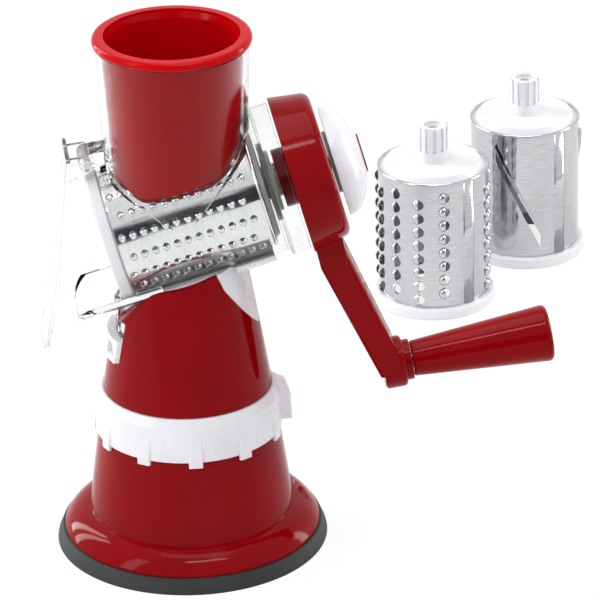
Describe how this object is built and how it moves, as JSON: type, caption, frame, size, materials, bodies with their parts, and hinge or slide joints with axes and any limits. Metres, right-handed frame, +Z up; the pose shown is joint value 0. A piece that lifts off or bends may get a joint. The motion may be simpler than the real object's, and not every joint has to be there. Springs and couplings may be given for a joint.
{
  "type": "rotary cabbage shredder",
  "caption": "Hand cranked drum shredder on a suction foot, with clear housing, feed tube, pusher, tilted drum, splash guard, and spare drums beside it.",
  "frame": {"origin": "centre of the rubber disc's flat underside, on the table", "axes": "+Z up; the drum's axis lies in the XZ plane and rises towards the crank at +X; the spare drums stand behind, at +Y"},
  "size_m": [0.312, 0.397, 0.2589],
  "materials": {
    "red_plastic": "glossy moulded ABS, deep red",
    "white_plastic": "satin moulded ABS, cool white",
    "clear_plastic": "clear moulded styrene-acrylonitrile",
    "drum_steel": "pressed stainless sheet, bright",
    "screw_steel": "zinc plated steel",
    "rubber": "matt dark grey rubber"
  },
  "bodies": {
    "stand": {"suction_cup": "rubber", "base_shell": "red_plastic", "base_screws": "screw_steel", "tower_shell": "red_plastic", "barrel_cradle": "white_plastic", "cradle_screws": "screw_steel", "barrel_housing": "clear_plastic", "drum_bush": "white_plastic", "guard_pin": "screw_steel"},
    "lock_ring": {"lock_ring": "white_plastic"},
    "stem": {"suction_stem": "white_plastic", "stem_pin": "screw_steel"},
    "release_button": {"release_button": "white_plastic"},
    "splash_guard": {"splash_guard": "clear_plastic"},
    "crank": {"crank_arm": "red_plastic", "drive_socket": "white_plastic", "grip_axle": "screw_steel", "drum_shell": "drum_steel", "drum_ring": "white_plastic", "drum_cap": "white_plastic"},
    "grip": {"grip": "red_plastic", "grip_plug": "red_plastic"},
    "knob": {"knob": "white_plastic", "knob_bolt": "screw_steel", "knob_disc": "red_plastic"},
    "pusher": {"pusher": "red_plastic"},
    "coarse_drum": {"coarse_shell": "drum_steel", "coarse_ring": "white_plastic", "coarse_cap": "white_plastic"},
    "slicer_drum": {"slicer_shell": "drum_steel", "slicer_ring": "white_plastic", "slicer_cap": "white_plastic"}
  },
  "joints": [
    {"name": "lock_ring_turn", "type": "hinge", "parent": "stand", "child": "lock_ring", "pos_m": [0, 0, 0.07], "axis": [0, 0, 1], "range_deg": [0, 60]},
    {"name": "stem_lift", "type": "slide", "parent": "stand", "child": "stem", "axis": [0, 0, 1], "range_m": [0, 0.004]},
    {"name": "button_press", "type": "slide", "parent": "stand", "child": "release_button", "axis": [1, 0, 0], "range_m": [0, 0.0025], "stiffness_N_per_m": 600},
    {"name": "guard_swing", "type": "hinge", "parent": "stand", "child": "splash_guard", "pos_m": [-0.044, 0, 0.2], "axis": [0, 1, 0], "range_deg": [0, 90]},
    {"name": "crank_spin", "type": "hinge", "parent": "stand", "child": "crank", "pos_m": [0, 0, 0.1703], "axis": [0.9664, 0, 0.2571], "continuous": true},
    {"name": "grip_spin", "type": "hinge", "parent": "crank", "child": "grip", "pos_m": [0.10411, 0, 0.08355], "axis": [0.9917, 0, 0.1288], "continuous": true},
    {"name": "knob_turn", "type": "hinge", "parent": "crank", "child": "knob", "pos_m": [0, 0, 0.1703], "axis": [0.9664, 0, 0.2571], "range_deg": [0, 1080]},
    {"name": "pusher_slide", "type": "slide", "parent": "stand", "child": "pusher", "axis": [0, 0, 1], "range_m": [0, 0.07]},
    {"name": "coarse_drum_lift", "type": "slide", "parent": "stand", "child": "coarse_drum", "axis": [0, 0, 1], "range_m": [0, 0.1]},
    {"name": "slicer_drum_lift", "type": "slide", "parent": "stand", "child": "slicer_drum", "axis": [0, 0, 1], "range_m": [0, 0.1]}
  ],
  "couplings": [
    {"joint": "stem_lift", "follows": "lock_ring_turn", "m_per_rad": 0.003819}
  ]
}
